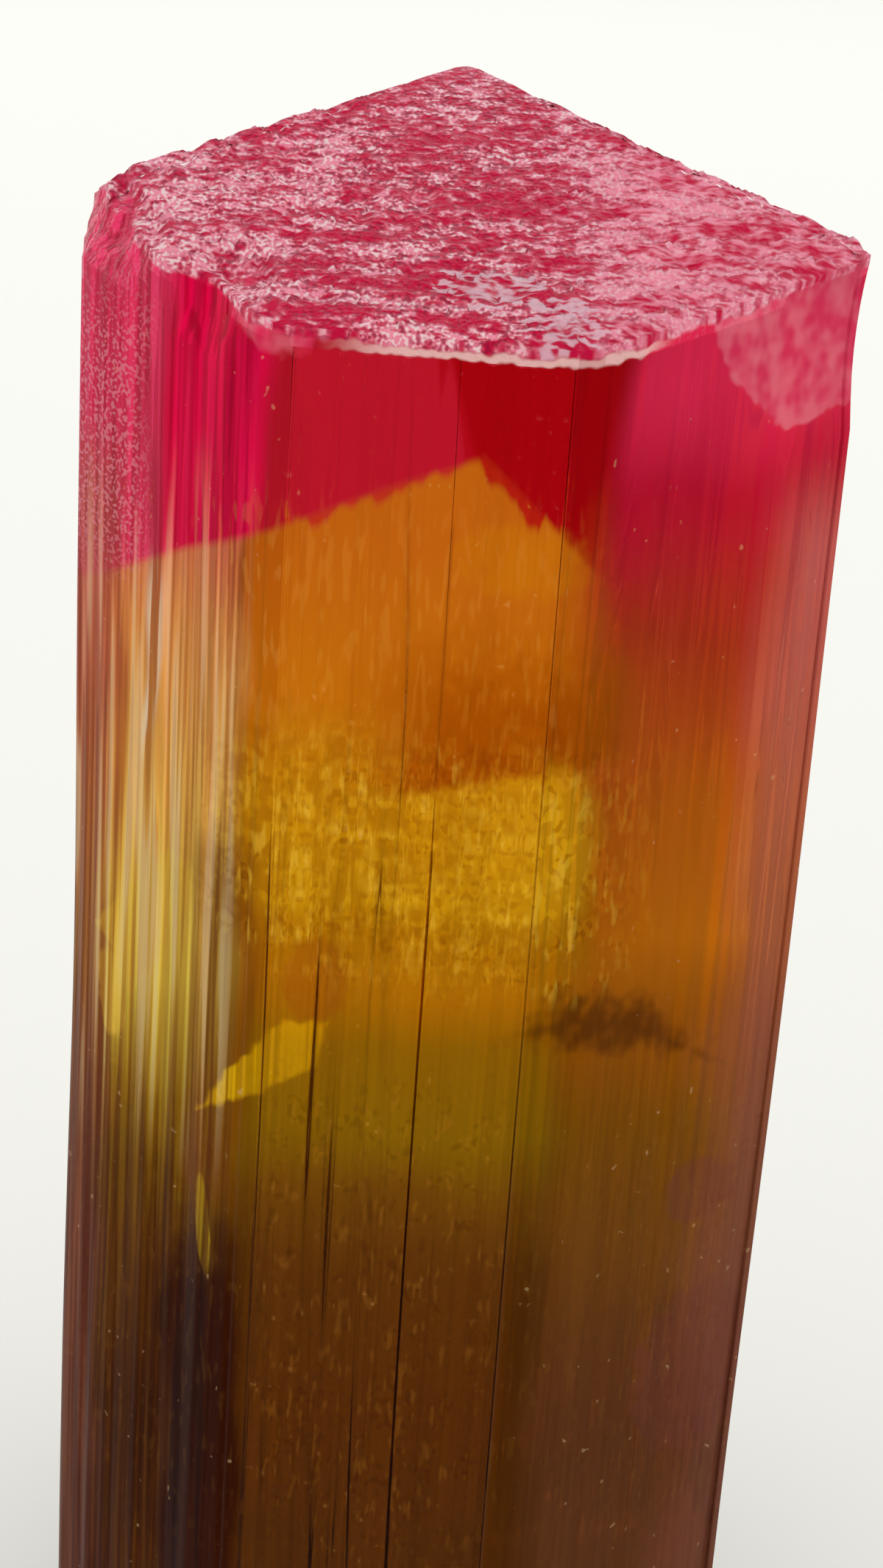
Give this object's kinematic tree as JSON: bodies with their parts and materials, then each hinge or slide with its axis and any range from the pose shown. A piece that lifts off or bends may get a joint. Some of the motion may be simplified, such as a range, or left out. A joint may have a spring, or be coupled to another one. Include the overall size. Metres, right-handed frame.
{
  "type": "elbaite crystal specimen",
  "caption": "Stout, ribbed pink to olive elbaite tourmaline crystal with a low etched pyramid on top, standing upright on its flat base.",
  "frame": {"origin": "on the base plane, under the middle of the crystal's bounding box", "axes": "+Z along the crystal from its base to its tip; the face that the picture shows looks along -Y"},
  "size_m": [0.0304, 0.0312, 0.076],
  "materials": {
    "elbaite": "glassy and ribbed on the sides, frosted by etching on the cap; raspberry pink at the top, orange in the middle, olive brown at the base"
  },
  "bodies": {
    "root": {"elbaite_crystal": "elbaite"}
  },
  "joints": []
}
